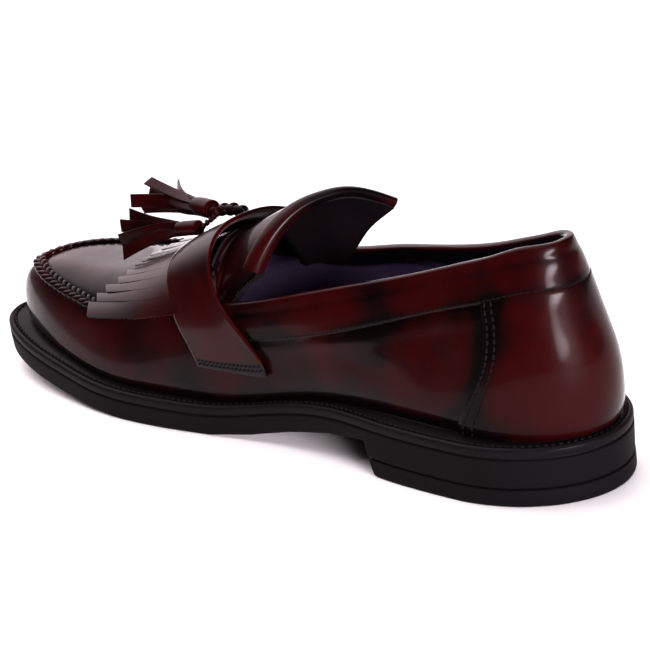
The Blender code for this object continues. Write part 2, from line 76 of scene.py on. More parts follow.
# %% [markdown]
# ## The last, in tables
# Each table has a row for a section of the shoe. Sizes are in millimetres. "along" is the distance
# forward from the back of the sole, and half widths are counted from the axis of the heel. A smooth
# curve through the rows gives every size in between.

# %% Tables of the last
LENGTH = 300.0
GAP = 0.3
WELT_THICK = 3.2
HEEL_FRONT = 88.0
SOLE_BACK = 47.0
SOLE_TOE = 85.0
TOE_CORNER = 2.2
UPPER_BACK = 42.0
BACK_REACH = 90.0
COLLAR_PINCH = 12.0
COLLAR_LOW = 36.0
COLLAR_TALL = 48.0
LEAN_BLEND = 4.0
LEAN_REACH = 40.0
TUCK = 2.6
UPPER_TIP = 293.0
UPPER_TOE = 78.0
TOE_BOX = 38.0
TOE_FULL = 2.6
THROAT = 168.0
SADDLE_LOW = 27.5


def table(columns, rows):
    return dict(zip(columns.split(), np.array(rows, float).T))


PLAN = table("along mid inner outer", (
    (0, 0, 36.7, 36.7), (45, 0, 36.7, 36.7), (80, 0, 35.6, 37), (110, -0.5, 31.5, 39),
    (130, -1, 31, 42.5), (150, -1.5, 32.5, 48), (175, -2, 36.8, 56), (200, -2.5, 40, 59.5),
    (220, -3, 40.3, 59), (245, -3.5, 38.6, 54), (270, -4, 37.6, 48), (300, -4, 36.6, 43)))
SIDE = table("along under seat", (
    (0, 14.3, 22), (78, 13.6, 22), (95, 12.5, 21.8), (110, 10.6, 21), (130, 7, 18.3),
    (150, 2.4, 14.4), (168, 0, 12), (190, 0, 11.8), (212, 0, 11.9), (228, 1, 12.9),
    (246, 3.2, 15.1), (265, 5.4, 17.2), (285, 8, 19.6), (300, 9.1, 20.6)))
LAST = table("along belly inner outer ridge full round", (
    (0, 9, 30.4, 30.4, 106, 2.2, 2.2), (40, 8, 30.4, 30.6, 103, 2.2, 2.2),
    (62, 8, 29.8, 31.2, 98, 2.2, 2.2), (92, 9, 28.8, 33, 94, 2.25, 2.25),
    (120, 11, 28.4, 36.5, 90, 2.45, 2.4), (150, 10.5, 30.6, 43, 80, 2.4, 2.3),
    (168, 9, 33, 48, 72, 2.4, 2.3), (187, 7, 35.2, 52, 64.5, 2.5, 2.3),
    (215, 5, 36.4, 52.5, 54, 2.8, 2.5), (240, 4, 34.6, 47, 48.4, 3.1, 2.8),
    (265, 4, 32, 41.5, 47, 3.1, 2.9), (294, 4, 28, 37, 47.4, 3, 2.9)))
LEAN = table("along start inner outer", (
    (0, 5, 0.2, 0.2), (40, 5, 0.22, 0.22), (75, 8, 0.22, 0.2), (105, 16, 0.2, 0.16),
    (120, 24, 0.14, 0.12), (150, 24, 0.12, 0.1), (187, 12, 0.16, 0.1), (215, 4, 0.26, 0.1),
    (240, 2, 0.32, 0.06), (265, 2, 0.32, 0.04), (294, 2, 0.32, 0.04)))
BACK = table("height lean", (
    (18, 6), (26, 3.3), (36, 1.8), (48, 2.7), (60, 6.3), (72, 9.8), (80, 12.6), (90, 15.6), (98, 18)))
RIM = table("along inner outer band", (
    (0, 89.5, 89.5, 14.6), (15, 88.8, 87.2, 14.2), (30, 85.1, 83.2, 13.9), (45, 81.2, 79.2, 13.8),
    (60, 77, 75, 13.7), (92, 68, 67.4, 14.8), (120, 60.9, 60.6, 15.2), (146, 53.9, 53.9, 13.6),
    (168, 49.5, 49.5, 13.5)))
TONGUE = table("along crown mid half inner outer", (
    (184, 65, 0, 26.5, 27, 24), (166, 73, 0, 26.5, 29, 24), (158, 78, 1, 26.5, 24.5, 26.5),
    (152, 81.3, 1.8, 26.4, 21, 28.5), (147, 83.6, 2.5, 26.3, 17.5, 30), (136, 87.2, 3.5, 25.5, 12.5, 22),
    (126, 89.2, 4, 24.8, 11, 15.2), (119, 89.8, 4, 24.5, 10.5, 10.5)))
SADDLE = table("turn front rear lift", (
    (0, 191, 170, 4), (0.24, 193.5, 169, 4.1), (0.48, 190.5, 165.8, 3.5), (0.7, 184, 157.5, 2.9),
    (0.83, 178.8, 148.5, 2.4), (0.97, 171.5, 139, 0.9), (1, 170.3, 137.5, 0.7)))
KILTIE = table("turn tip lift", (
    (0, 217.5, 0.6), (0.2, 218.5, 0.8), (0.35, 219.8, 1), (0.44, 223, 1.4), (0.54, 226.5, 2),
    (0.63, 227.8, 2.8), (0.75, 229.4, 4.2), (0.9, 229, 6.4)))
COUNTER = table("over along", (
    (0, 46.5), (5.3, 44.5), (11.4, 42), (21, 37.8), (27.4, 34.8), (34, 33), (41, 32.5), (47, 33.3),
    (60, 35)))
BRAID = np.array((
    (224, -27.3), (228.2, -26.8), (233.2, -26.1), (240.4, -24.5), (247.9, -22.9), (255.2, -21),
    (262.2, -18.9), (269, -16.2), (275.4, -12.4), (279.2, -8.9), (281.5, -3.5), (280.5, 3.5),
    (276.5, 9.7), (270.5, 14.4), (262, 19.9), (252, 24.2), (242, 27), (232, 28.5), (222, 29.5)))
print("sections of the last:", len(LAST["along"]))

# %% [markdown]
# ## The last, as a function
# A section of the last is a rounded box: its widest line lies a little over the welt, and from there
# it arches over to the ridge. `skin` gives the point for a place along the shoe, a side and a rise:
# -1 is the lower edge of the upper, 0 the widest line and 1 the ridge.


# %% Curves through the rows
def spline(xs, ys, at):
    count = len(xs)
    step = np.diff(xs)
    slope = np.diff(ys) / step
    system = np.eye(count)
    right = np.zeros(count)
    for row in range(1, count - 1):
        system[row, row - 1:row + 2] = step[row - 1], 2 * (step[row - 1] + step[row]), step[row]
        right[row] = 6 * (slope[row] - slope[row - 1])
    bend = np.linalg.solve(system, right)
    low = np.clip(np.searchsorted(xs, at) - 1, 0, count - 2)
    gap = step[low]
    after = (at - xs[low]) / gap
    before = 1 - after
    curve = (before ** 3 - before) * bend[low] + (after ** 3 - after) * bend[low + 1]
    return before * ys[low] + after * ys[low + 1] + curve * gap ** 2 / 6


def size(source, column, at):
    """A column of a table at places in its first column."""
    keys = next(iter(source.values()))
    order = np.argsort(keys)
    at = np.clip(np.asarray(at, float), keys.min(), keys.max())
    return spline(keys[order], source[column][order], at)


def rounding(part, full=2.0):
    return np.clip(1 - np.clip(1 - part, 0, 1) ** full, 0, 1) ** (1 / full)


def by_side(side, inner, outer):
    return np.where(np.asarray(side) < 0, inner, outer)


def sided(source, along, side):
    return by_side(side, size(source, "inner", along), size(source, "outer", along))


WIDEST = [size(PLAN, column, np.linspace(0, 230, 231)).max() for column in ("inner", "outer")]
AXIS_Y = (WIDEST[0] - WIDEST[1]) / 2
print("heel axis lies at y =", round(AXIS_Y, 2), "mm")


# %% The surface of the last
def place(along, across, height):
    return np.stack(np.broadcast_arrays(LENGTH / 2 - along, across + AXIS_Y, height), -1)


def seat(along):
    return size(SIDE, "seat", along)


def sole_edge(along, side):
    mid = size(PLAN, "mid", along)
    half = sided(PLAN, along, side) - side * mid
    toe = rounding((LENGTH - along) / SOLE_TOE, by_side(side, TOE_CORNER, 2.0))
    return mid + side * half * rounding(along / SOLE_BACK) * toe


def section(along):
    belly = seat(along) + GAP + size(LAST, "belly", along)
    close = rounding((UPPER_TIP - along) / TOE_BOX, TOE_FULL)
    return belly, (size(LAST, "ridge", along) - belly) * close


def boxy(along, side):
    return by_side(side, size(LAST, "full", along), size(LAST, "round", along))


def rise_at(along, side, height):
    belly, tall = section(along)
    part = np.clip((height - belly) / np.maximum(tall, TINY), 0, 1)
    return np.arcsin(part ** (boxy(along, side) / 2)) * 2 / np.pi


def skin(along, side, rise):
    along, side, rise = np.broadcast_arrays(*(np.asarray(v, float) for v in (along, side, rise)))
    belly, tall = section(along)
    full = boxy(along, side)
    turn = np.clip(rise, 0, 1) * np.pi / 2
    under = np.clip(-rise, 0, 1)
    height = belly + tall * np.sin(turn) ** (2 / full) - size(LAST, "belly", along) * under
    mid = size(PLAN, "mid", along)
    half = sided(LAST, along, side) - side * mid
    toe = rounding((UPPER_TIP - along) / UPPER_TOE)
    tuck = TUCK * under ** 2
    over = height - seat(along) - size(LEAN, "start", along)
    across = (half - tuck) * np.clip(np.cos(turn), 0, 1) ** (2 / full)
    over = (over + np.sqrt(over ** 2 + LEAN_BLEND ** 2)) / 2
    across = across * (1 - sided(LEAN, along, side) * over / LEAN_REACH)
    back = UPPER_BACK - COLLAR_PINCH * np.clip((height - COLLAR_LOW) / COLLAR_TALL, 0, 1)
    across = mid + side * across * rounding(along / back) * toe
    lean = size(BACK, "lean", height)
    forward = along + lean * np.clip(1 - along / BACK_REACH, 0, 1) ** 2 - tuck * (1 - toe)
    return place(forward, across, height)


def rise_across(along, across):
    """The rise of a place on the upper that is seen from above, found by halving."""
    side = np.where(across < size(PLAN, "mid", along), -1.0, 1.0)
    low = np.zeros_like(across)
    high = np.ones_like(across)
    for _ in range(30):
        middle = (low + high) / 2
        wide = side * (skin(along, side, middle)[..., 1] - AXIS_Y - across) > 0
        low = np.where(wide, middle, low)
        high = np.where(wide, high, middle)
    return side, (low + high) / 2


def rim_height(along, side):
    return sided(RIM, along, side)


def band_foot(along, side):
    """Height of the lower edge of the band along the rim."""
    return rim_height(along, side) - size(RIM, "band", along)


def over_instep(turn, along):
    side = np.where(turn < 0, -1.0, 1.0)
    return skin(along, side, 1 - np.abs(turn) * (1 - rise_at(along, side, SADDLE_LOW)))


print("ridge over the throat:", round(float(skin(THROAT, 1.0, 1.0)[2]), 1), "mm")

# %% [markdown]
# ## Working with sheets
# A sheet of leather starts as Blender's grid primitive. Its corners are pulled to the points of the
# last, and Solidify and Bevel modifiers give it the thickness and the soft edge of cut leather.

# %% Helpers for sheets
UP = np.array((0.0, 0.0, 1.0))
INSIDE = np.array((0.0, AXIS_Y, 28.0))
CORE_WAY = (0.1, 1.0, 1.0)
MERGE = 0.02 * MM
BEVEL_ANGLE = math.radians(50)
SMOOTH_ANGLE = math.radians(40)


def take(*pieces):
    bpy.ops.object.select_all(action="DESELECT")
    for piece in pieces:
        piece.select_set(True)
    bpy.context.view_layer.objects.active = pieces[0]


def edit(piece, *steps):
    take(piece)
    bpy.ops.object.mode_set(mode="EDIT")
    bpy.ops.mesh.select_all(action="SELECT")
    for step in steps:
        step()
    bpy.ops.object.mode_set(mode="OBJECT")


def merge():
    bpy.ops.mesh.remove_doubles(threshold=MERGE)


def face_out():
    bpy.ops.mesh.normals_make_consistent(inside=False)


def join(pieces, name):
    take(*pieces)
    bpy.ops.object.join()
    pieces[0].name = pieces[0].data.name = name
    return pieces[0]


def pull_sheet(name, points):
    """A flat grid whose corners are pulled to rows of points in millimetres."""
    rows, columns = points.shape[:2]
    bpy.ops.mesh.primitive_grid_add(x_subdivisions=columns - 1, y_subdivisions=rows - 1, size=1)
    piece = bpy.context.object
    piece.name = piece.data.name = name
    piece.data.vertices.foreach_set("co", (points * MM).reshape(-1))
    piece.data.update()
    return piece


def note(piece, shade):
    """Keeps a number called shade on every corner, for the material to read."""
    layer = piece.data.attributes.new("shade", "FLOAT", "POINT")
    layer.data.foreach_set("value", np.zeros(len(layer.data)) + np.ravel(shade))


def unit(ways):
    return ways / np.maximum(np.linalg.norm(ways, axis=-1, keepdims=True), TINY)


def facing(points, inside=INSIDE):
    """Direction of each point of a sheet, away from the inside of the shoe."""
    out = unit(np.cross(np.gradient(points, axis=1), np.gradient(points, axis=0)))
    return out if ((points - inside) * CORE_WAY * out).sum() > 0 else -out


def outward(piece, inside=INSIDE):
    """Turns a sheet's faces to the outside of the shoe."""
    middle = piece.data.polygons[len(piece.data.polygons) // 2]
    way = (np.array(middle.center) / MM - inside) * CORE_WAY
    if np.dot(np.array(middle.normal), way) < 0:
        edit(piece, bpy.ops.mesh.flip_normals)


def modify(piece, kind, **settings):
    take(piece)
    bpy.ops.object.modifier_add(type=kind)
    modifier = piece.modifiers[-1]
    for setting, value in settings.items():
        setattr(modifier, setting, value)
    bpy.ops.object.modifier_apply(modifier=modifier.name)


def wall(piece, thick, bevel=0.0, rim=0, back=0):
    """Thickness below a sheet. rim and back are the slots of its cut edge and its back."""
    modify(piece, "SOLIDIFY", thickness=thick * MM, offset=-1.0, material_offset_rim=rim,
           material_offset=back)
    if bevel:
        modify(piece, "BEVEL", width=bevel * MM, segments=2, limit_method="ANGLE", angle_limit=BEVEL_ANGLE)


def dress(piece, looks, node=None):
    for look in looks:
        piece.data.materials.append(look)
    take(piece)
    bpy.ops.object.shade_smooth_by_angle(angle=SMOOTH_ANGLE)
    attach(piece, "root")
    if node:
        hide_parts(node)
    print(piece.name, len(piece.data.polygons), "faces")


def leather(name, points, shade, thick, bevel, look, node=None, inside=INSIDE):
    """A whole piece from one sheet."""
    piece = pull_sheet(name, points)
    note(piece, shade)
    outward(piece, inside)
    wall(piece, thick, bevel)
    dress(piece, [look], node)


# %% Spacing and weights
def crowd(start, end, count, at_end=False):
    """Distances that crowd towards a rounded end."""
    angle = np.linspace(0, np.pi / 2, count)
    return start + (end - start) * (np.sin(angle) if at_end else 1 - np.cos(angle))


def heel_run(end, back, counts):
    return np.concatenate([crowd(0.0, back, counts[0]), np.linspace(back, end, counts[1])[1:]])


def fine_run(end, back, toe, marks, counts=(34, 92, 46)):
    """Places from heel to toe, close together where the outline is round."""
    front = crowd(end - toe, end, counts[2], at_end=True)
    return np.sort(np.concatenate([heel_run(end - toe, back, counts)[:-1], front, marks]))


def both_sides(half):
    """Places on the inner side, round the heel and on the outer side, with their sides."""
    signed = np.concatenate([-half[:0:-1], half])
    return np.abs(signed), np.where(signed < 0, -1.0, 1.0)


def smooth(low, high, value):
    part = np.clip((value - low) / (high - low), 0, 1)
    return part * part * (3 - 2 * part)


def bump(value, centre, width):
    return np.exp(-((value - centre) / width) ** 2)


# %% [markdown]
# ## Finishes
# Shader maths reads better as a formula than as a web of nodes. `Field` wraps a node's output, and
# each sum or product on it adds the Math node that does it.


# %% Shader formulas
class Field:
    def __init__(self, finish, socket):
        self.finish = finish
        self.socket = socket

    def __add__(self, other):
        return self.finish.sum_of("ADD", self, other)

    def __sub__(self, other):
        return self.finish.sum_of("SUBTRACT", self, other)

    def __rsub__(self, other):
        return self.finish.sum_of("SUBTRACT", other, self)

    def __mul__(self, other):
        return self.finish.sum_of("MULTIPLY", self, other)

    __radd__ = __add__
    __rmul__ = __mul__


class Graph:
    """Adds nodes to the tree of a material or of the world."""

    def __init__(self, tree):
        self.tree = tree

    def node(self, kind, settings=None, out=0, **sockets):
        made = self.tree.nodes.new("ShaderNode" + kind)
        for setting, value in (settings or {}).items():
            setattr(made, setting, value)
        for socket, value in sockets.items():
            key = int(socket[1:]) if socket[1:].isdigit() else socket.replace("_", " ")
            self.join(value, made.inputs[key])
        return Field(self, made.outputs[out])

    def join(self, value, socket):
        if isinstance(value, Field):
            self.tree.links.new(value.socket, socket)
        else:
            socket.default_value = value

    def sum_of(self, operation, first, second):
        return self.node("Math", {"operation": operation}, i0=first, i1=second)

    def clamp(self, value):
        return self.node("Clamp", i0=value)

    def mix(self, share, first, second):
        return self.node("Mix", {"data_type": "RGBA"}, 2, i0=share, i6=first, i7=second)

    def spot(self):
        return self.node("TexCoord", out=3)

    def noise(self, scale, detail=3.0, rough=0.5):
        return self.node("TexNoise", Vector=self.spot(), Scale=scale, Detail=detail, Roughness=rough)

    def axes(self, where):
        return [self.node("SeparateXYZ", out=axis, Vector=where) for axis in range(3)]

    def mark(self, name):
        return self.node("Attribute", {"attribute_name": name}, 2)

    def range(self, value, low, high, to_low=0.0, to_high=1.0, curve="LINEAR"):
        return self.node("MapRange", {"interpolation_type": curve}, Value=value, From_Min=low,
                         From_Max=high, To_Min=to_low, To_Max=to_high)


class Finish(Graph):
    """A material with one Principled shader."""

    def __init__(self, name, **uniform):
        self.material = bpy.data.materials.new(name)
        self.material.use_nodes = True
        super().__init__(self.material.node_tree)
        self.shader = self.tree.nodes["Principled BSDF"]
        for socket, value in uniform.items():
            self.shader.inputs[socket.replace("_", " ").title().replace("Ior", "IOR")].default_value = value

    def colour(self, value):
        self.join(value, self.shader.inputs["Base Color"])

    def rough(self, value):
        self.join(value, self.shader.inputs["Roughness"])

    def relief(self, height, strength, depth):
        bump_node = self.node("Bump", Strength=strength, Distance=depth * MM, Height=height)
        self.join(bump_node, self.shader.inputs["Normal"])


# %% [markdown]
# Brush-off leather is dyed red, painted nearly black and polished through, so it stays dark at seams
# and edges and shows red where the brush has been. A number called `shade` on every corner says how
# dark the paint has stayed, and in places it also holds painted shade: darker colour in creases and
# dents, under the saddle and on the heel's side turned from the light. A clear, hard coat gives the high
# shine.

# %% Leather, lining, rubber and thread
RED_DYE = (0.0185, 0.0007, 0.0009, 1)
BLACK_PAINT = (0.0016, 0.0006, 0.0007, 1)


def polished_leather(name, shine, coat):
    finish = Finish(name, coat_weight=1.0, coat_roughness=shine, coat_ior=coat, specular_ior_level=0.04)
    cloud = finish.noise(28.0, 3.0, 0.55)
    fine = finish.noise(160.0, 2.0, 0.5)
    dark = finish.mark("shade") + finish.range(cloud, 0.38, 0.62, -0.35, 0.6) + (fine - 0.5) * 0.2
    finish.colour(finish.mix(finish.clamp(dark), RED_DYE, BLACK_PAINT))
    finish.rough(finish.range(fine, 0.3, 0.7, 0.30, 0.42))
    grain = finish.noise(900.0, 2.0, 0.5)
    ripple = finish.noise(70.0, 1.0, 0.4)
    finish.relief(grain * 0.25 + ripple, 0.10, 0.6)
    return finish.material


oxblood = polished_leather("oxblood_leather", 0.08, 1.117)
strip_leather = polished_leather("strip_leather", 0.24, 1.28)
saddle_polish = polished_leather("saddle_leather", 0.12, 1.18)
tassel_leather = polished_leather("tassel_leather", 0.26, 1.06)
edge_look = Finish("cut_edge", roughness=0.5, coat_weight=0.3, coat_roughness=0.2)
edge_spots = edge_look.range(edge_look.noise(220.0), 0.35, 0.65)
edge_look.colour(edge_look.mix(edge_spots, (0.05, 0.016, 0.018, 1), (0.15, 0.075, 0.08, 1)))
cut_edge = edge_look.material


def cloth(name, low, high):
    """A matt weave that is lighter where the number called shade is low."""
    finish = Finish(name, roughness=0.6, specular_ior_level=0.08)
    grain = finish.noise(700.0, 3.0, 0.6)
    dark = finish.clamp(finish.mark("shade") + (grain - 0.5) * 0.4)
    finish.colour(finish.mix(dark, (*high, 1), (*low, 1)))
    finish.relief(grain, 0.25, 0.3)
    return finish.material


navy_lining = cloth("navy_lining", (0.007, 0.005, 0.009), (0.24, 0.17, 0.34))
dark_lining = cloth("dark_lining", (0.002, 0.0012, 0.0018), (0.005, 0.003, 0.004))


def black_rubber(name, rough, grain_scale, strength, coat, shine):
    finish = Finish(name, specular_ior_level=0.02, coat_weight=coat, coat_roughness=shine, coat_ior=1.3)
    grain = finish.noise(grain_scale, 3.0, 0.6)
    cloud = finish.noise(38.0, 2.0, 0.5)
    finish.colour(finish.mix(cloud, (0.0032, 0.0026, 0.0030, 1), (0.0058, 0.0048, 0.0055, 1)))
    finish.rough(finish.range(cloud, 0.3, 0.7, rough - 0.06, rough + 0.08))
    finish.relief(grain, strength, 0.25)
    return finish.material


sole_black = black_rubber("sole_rubber", 0.6, 850.0, 0.18, 0.05, 0.45)
welt_black = black_rubber("welt_rubber", 0.55, 600.0, 0.22, 0.13, 0.3)

thread_look = Finish("waxed_thread", roughness=0.5, specular_ior_level=0.06)
thread_spots = thread_look.noise(900.0)
thread_look.colour(thread_look.mix(thread_spots, (0.002, 0.001, 0.0012, 1), (0.008, 0.004, 0.005, 1)))
waxed_thread = thread_look.material
print("finishes:", sorted(made.name for made in bpy.data.materials))

# %% [markdown]
# ## Floor and light
# Shiny leather shows the room more than itself. The shoe stands on a white floor that lights its
# lower half from below and grows dark far to the left, so that the toe's side mirrors a dark room.
# The room is dark behind the camera and bright beyond the toe, where surfaces that face up mirror a
# pale sky. One small, bright window behind the heel draws the streak there.

# %% Floor and lamp
FLOOR_LEFT = np.array((-0.72, -0.69, 0.0))
FLOOR_NEAR = np.array((0.69, -0.72, 0.0))
FLOOR_SIDES = (8600, -8600)
FLOOR_ENDS = (4000, -8000)
FLOOR_FADE = (0.27, 0.37)
FLOOR_DARK = (0.012, 0.012, 0.012, 1)
LAMP_AT = Vector((0.1, -0.1, 1.5))
LAMP_SIZE = 1.6
LAMP_POWER = 14

corners = [[FLOOR_LEFT * left + FLOOR_NEAR * near for left in FLOOR_SIDES] for near in FLOOR_ENDS]
floor = pull_sheet("floor", np.array(corners))
floor_look = Finish("pale_floor", roughness=0.7, specular_ior_level=0.2)
pale = floor_look.mix(floor_look.noise(6.0), (0.93, 0.94, 0.935, 1), (0.95, 0.96, 0.955, 1))
spot_x, spot_y = floor_look.axes(floor_look.spot())[:2]
leftward = spot_x * float(FLOOR_LEFT[0]) + spot_y * float(FLOOR_LEFT[1])
floor_look.colour(floor_look.mix(floor_look.range(leftward, *FLOOR_FADE), pale, FLOOR_DARK))
floor.data.materials.append(floor_look.material)
lamp_turn = (-LAMP_AT).to_track_quat("-Z", "Y").to_euler()
bpy.ops.object.light_add(type="AREA", location=LAMP_AT, rotation=lamp_turn)
lamp = bpy.context.object
lamp.name = "overhead"
lamp.data.size = LAMP_SIZE
lamp.data.energy = LAMP_POWER
print("floor and lamp:", floor.name, lamp.name)

# %% World
DARK_ROOM = (0.015, 0.015, 0.016, 1)
PALE_SKY = (4.5, 3.85, 4.1, 1)
WINDOW_LIGHT = (112.0, 98.0, 105.0, 1)
WINDOW_ASIDE = 0.3
WINDOW_HIGH = 0.23
WINDOW_HALF = 0.15
world = bpy.data.worlds.new("studio")
bpy.context.scene.world = world
world.use_nodes = True
sky = Graph(world.node_tree)
to_heel, to_outside, to_top = sky.axes(sky.node("TexCoord"))
beyond = sky.range(to_outside + to_top, 0.0, 0.5, curve="SMOOTHSTEP")
ahead_of_toe = sky.range(to_heel, 0.0, -0.5, curve="SMOOTHSTEP")
glow = beyond * ahead_of_toe * sky.range(to_top, 0.0, 0.75, 0.18, 1.0)
slant = sky.range(to_top, 0.1, 0.27, 0.26, 0.0)
sideways = (to_outside + WINDOW_ASIDE + slant) * sky.range(to_top, 0.1, 0.3, 6.0, 3.2)
upward = (to_top - WINDOW_HIGH) * (1 / WINDOW_HALF)
oval = sky.clamp(1.0 - sideways * sideways - upward * upward)
window = oval * sky.range(to_heel, 0.0, 0.3) * sky.range(to_top, 0.1, 0.3, 0.4)
room = sky.mix(window, sky.mix(glow, DARK_ROOM, PALE_SKY), WINDOW_LIGHT)
sky.join(room, world.node_tree.nodes["Background"].inputs["Color"])
bpy.context.scene.view_settings.view_transform = "Standard"
print("nodes of the world:", len(world.node_tree.nodes))

# %% [markdown]
# ## Sole, heel and welt
# The sole is one moulded unit with a low heel, a separate top lift under it and a welt round it. All
# are outlines one over the other. A grid is wrapped round the outline, one row for each level, and a
# first and last row on the centre line close it underneath and on top.

# %% Outlines of the sole
LIFT_THICK = 6.5
HEEL_UNDER = 6.8
WAIST_UNDER = 13.2
BREAST_SLOPE = 1.5
WALL = 2.0


def inset(loop, distance):
    open_loop = loop[:-1]
    ahead = np.roll(open_loop, -1, 0) - np.roll(open_loop, 1, 0)
    inward = unit(np.stack([-ahead[:, 1], ahead[:, 0]], -1))
    moved = open_loop + inward * distance
    return np.vstack([moved, moved[:1]])


def sole_line(run, side):
    return np.stack([run, sole_edge(run, side)], -1)


HEEL_BREAST = (HEEL_FRONT, HEEL_FRONT + BREAST_SLOPE)
sole_run = fine_run(LENGTH, SOLE_BACK, SOLE_TOE, HEEL_BREAST)
foot_run = fine_run(UPPER_TIP, UPPER_BACK, UPPER_TOE, HEEL_BREAST)
outline = np.vstack([sole_line(sole_run, -1.0), sole_line(sole_run, 1.0)[-2::-1]])
foot_points = np.vstack([skin(foot_run, -1.0, -1.0), skin(foot_run, 1.0, -1.0)[-2::-1]])
foot_outline = np.stack([LENGTH / 2 - foot_points[:, 0], foot_points[:, 1] - AXIS_Y], -1)
sole_top = seat(outline[:, 0])
rand = sole_top - WELT_THICK - GAP
breast = np.clip((outline[:, 0] - HEEL_FRONT) / BREAST_SLOPE, 0, 1)
waist = np.interp(outline[:, 0], SIDE["along"], SIDE["under"])
under = np.where(breast < 1, HEEL_UNDER + (WAIST_UNDER - HEEL_UNDER) * breast, waist)
print("outline points:", len(outline))


# %% Sole unit
def level_row(loop, distance, height):
    moved = inset(loop, distance)
    return place(moved[:, 0], moved[:, 1], height)


def seat_row(loop, distance, up):
    """A row inside an outline, at a height over the seat."""
    moved = inset(loop, distance)
    return place(moved[:, 0], moved[:, 1], seat(moved[:, 0]) + up)


def centre_row(loop, height):
    return place(loop[:, 0], size(PLAN, "mid", loop[:, 0]), height)


def moulded(name, rows, look, node):
    """A closed piece from rows that lie one over the other."""
    piece = pull_sheet(name, np.stack(rows))
    edit(piece, merge, face_out)
    dress(piece, [look], node)
    return piece


SOLE_FOOT = ((5, 0), (1.4, 0), (0.95, 0.22), (0.62, 0.6), (0.5, 1.05))
SOLE_SIDE = (0.2, 0.45, 0.7)
SOLE_HEAD = ((0, -1.3), (0, -1), (0.25, -0.72), (0.85, -0.5), (1, -0.2), (1, 0), (6, 0))
SOLE_LIP = 1.6
rows = [centre_row(outline, under)]
rows += [level_row(outline, inward, np.minimum(under + up, rand - SOLE_LIP)) for inward, up in SOLE_FOOT]
low_in, low_up = SOLE_FOOT[-1]
high_in, high_up = SOLE_HEAD[0]
for part in SOLE_SIDE:
    height = (under + low_up) * (1 - part) + (rand + high_up) * part
    rows.append(level_row(outline, low_in * (1 - part) + high_in * part, height))
rows += [level_row(outline, inward, rand + up) for inward, up in SOLE_HEAD]
rows.append(centre_row(outline, rand))
moulded("sole_unit", rows, sole_black, "sole")

# %% Top lift of the heel
LIFT_LEVELS = (
    (5, 0, 5), (1.3, 0, 3.8), (0.9, 0.15, 3.4), (0.6, 0.6, 2.6), (0.4, 1.2, 1.9), (0.4, 3.5, 1),
    (0.4, LIFT_THICK - 0.6, 0.2), (0.4, LIFT_THICK - 0.25, 0.1), (0.7, LIFT_THICK, 0.3),
    (5, LIFT_THICK, 4))
BREAST_STEPS = 9
lift_front = HEEL_FRONT - 0.5
lift_run = heel_run(lift_front, SOLE_BACK, (34, 22))
breast_line = np.linspace(-0.9, 0.9, BREAST_STEPS) * sole_edge(lift_front, 1.0)
breast_line = np.stack([np.full(BREAST_STEPS, lift_front), breast_line], -1)
lift_edge = np.vstack([sole_line(lift_run, -1.0), breast_line, sole_line(lift_run, 1.0)[::-1]])
lift_centre = np.minimum(lift_edge[:, 0] * 0.9 + 4, 80)
rows = [place(lift_centre, 0.0, 0.0)]
for inward, height, front in LIFT_LEVELS:
    moved = inset(lift_edge, inward)
    rows.append(place(np.minimum(moved[:, 0], lift_front - front), moved[:, 1], height))
rows.append(place(lift_centre, 0.0, LIFT_THICK))
moulded("heel_lift", rows, sole_black, "heel_top_lift")

# %% Welt
WELT_OUTER = (
    (0.2, -WELT_THICK), (0.05, -WELT_THICK + 0.35), (0, -1.9), (0, -0.9), (0.2, -0.35), (0.6, 0),
    (1, 0.32), (1.5, 0.34), (1.9, 0), (2.3, -0.25), (3.3, -0.25), (3.7, 0))
rows = [level_row(outline, inward, sole_top + up) for inward, up in WELT_OUTER]
rows += [seat_row(foot_outline, WALL, up) for up in (0.0, -WELT_THICK)]
rows.append(rows[0])
moulded("welt_strip", rows, welt_black, "welt")

# %% Insole
INSOLE_UNDER = GAP - WELT_THICK
INSOLE_TOP = 1.2
INSOLE_LEVELS = (
    (WALL + GAP, INSOLE_UNDER), (WALL + GAP, 0.2), (WALL + 0.6, 0.9), (WALL + 1.2, INSOLE_TOP),
    (9.0, INSOLE_TOP))
foot_seat = seat(foot_outline[:, 0])
rows = [centre_row(foot_outline, foot_seat + INSOLE_UNDER)]
rows += [seat_row(foot_outline, inward, up) for inward, up in INSOLE_LEVELS]
rows.append(centre_row(foot_outline, foot_seat + INSOLE_TOP))
# The insole's navy is darkened as a whole: painted shade inside the shoe.
note(moulded("insole_sock", rows, navy_lining, "insole"), 0.35)

# %% [markdown]
# ## Upper
# The upper is one sheet that runs from the toe round the heel and back to the toe. Faces above the
# rim are cut away behind the throat. Leather that has been walked in isn't smooth: a table of soft
# troughs pushes it in and out, and a groove follows the plaited seam round the toe.

# %% Shape of the upper
TROUGHS = table("along height side length tall depth", (
    (112, 40, -1, 26, 6, 0.7), (150, 33, -1, 18, 5, 0.6), (86, 46, -1, 16, 7, -0.4),
    (206, 34, -1, 15, 7, 0.5), (232, 36, -1, 14, 6, -0.4), (58, 52, -1, 10, 12, 0.4),
    (118, 40, 1, 26, 6, 0.7), (204, 36, 1, 15, 7, 0.5)))
APRON_LOW = 38.0
VAMP_REACH = 60.0
VAMP_RISE = 0.55


def braid_line(count):
    """Even steps along the braided seam, from its inner to its outer end."""
    number = np.arange(len(BRAID))
    fine = np.linspace(0, len(BRAID) - 1, count)
    along, across = [spline(number, column, fine) for column in BRAID.T]
    return skin(along, *rise_across(along, across))


